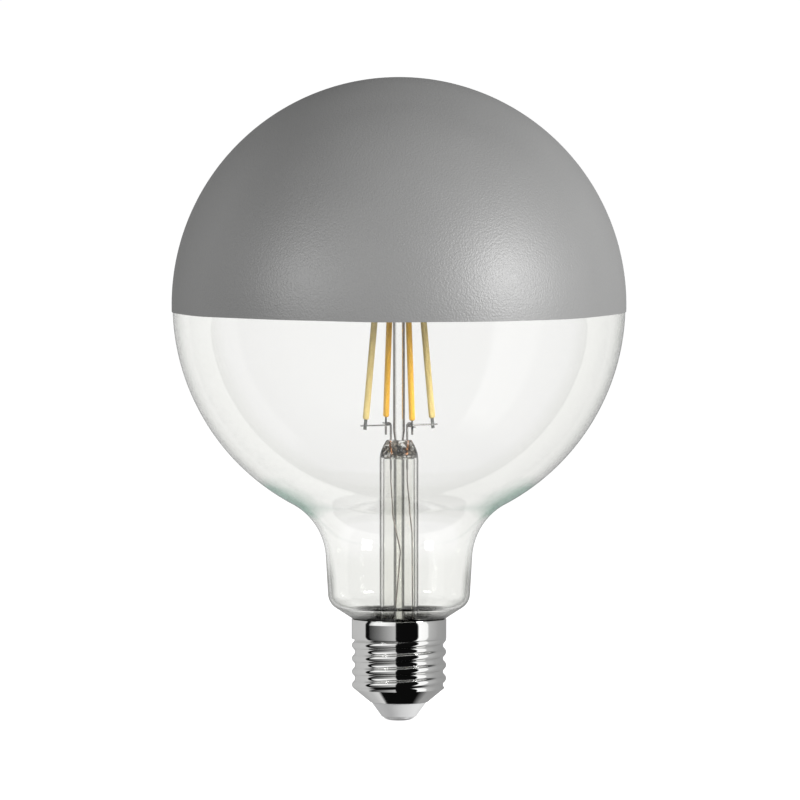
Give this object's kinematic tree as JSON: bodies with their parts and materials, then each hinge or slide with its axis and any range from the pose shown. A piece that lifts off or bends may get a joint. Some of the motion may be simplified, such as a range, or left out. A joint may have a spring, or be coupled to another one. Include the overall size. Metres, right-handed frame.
{
  "type": "led globe bulb",
  "caption": "Large clear glass globe lamp with LED filaments, a grey painted upper half and a standard screw base, for a lamp holder.",
  "frame": {"origin": "middle of the flat face of the centre contact, at the lower end of the lamp's axis", "axes": "+Z along the lamp's axis from the centre contact up to the crown; +X to the right and +Y away in the front view"},
  "size_m": [0.125, 0.125, 0.177],
  "materials": {
    "clear_glass": "clear blown soda-lime glass",
    "stem_glass": "clear drawn glass tube and rod",
    "grey_lacquer": "satin grey sprayed lacquer with a fine orange peel",
    "nickel_plate": "bright nickel-plated rolled sheet",
    "white_insulator": "moulded white plastic",
    "contact_metal": "pressed bright metal",
    "cement": "dull baked cement",
    "filament_coat": "yellow phosphor silicone over a chip strip",
    "tab_metal": "plated steel strip",
    "lead_wire": "dull nickel-plated wire",
    "copper_wire": "copper wire",
    "board": "green glass-fibre board",
    "chip_black": "moulded black epoxy",
    "capacitor_sleeve": "dark shrink sleeve",
    "resistor_body": "enamelled ceramic"
  },
  "bodies": {
    "root": {"basing_cement": "cement", "bridge_rectifier": "chip_black", "centre_contact": "contact_metal", "contact_lead": "copper_wire", "crown_paint": "grey_lacquer", "driver_board": "board", "driver_chip": "chip_black", "exhaust_tube": "stem_glass", "filament_1": "filament_coat", "filament_2": "filament_coat", "filament_3": "filament_coat", "filament_4": "filament_coat", "foot_tab_1": "tab_metal", "foot_tab_2": "tab_metal", "foot_tab_3": "tab_metal", "foot_tab_4": "tab_metal", "foot_wire_left": "lead_wire", "foot_wire_right": "lead_wire", "fuse_board_lead": "copper_wire", "fuse_resistor": "resistor_body", "glass_envelope": "clear_glass", "head_tab_1": "tab_metal", "head_tab_2": "tab_metal", "head_tab_3": "tab_metal", "head_tab_4": "tab_metal", "head_wire_1": "lead_wire", "head_wire_2": "lead_wire", "insulator": "white_insulator", "lead_wire_left": "lead_wire", "lead_wire_right": "lead_wire", "outer_lead_left": "copper_wire", "outer_lead_right": "copper_wire", "screw_shell": "nickel_plate", "sense_resistor_1": "resistor_body", "sense_resistor_2": "resistor_body", "shell_lead": "copper_wire", "smoothing_capacitor": "capacitor_sleeve", "stem": "stem_glass", "support_rod": "stem_glass"}
  },
  "joints": []
}
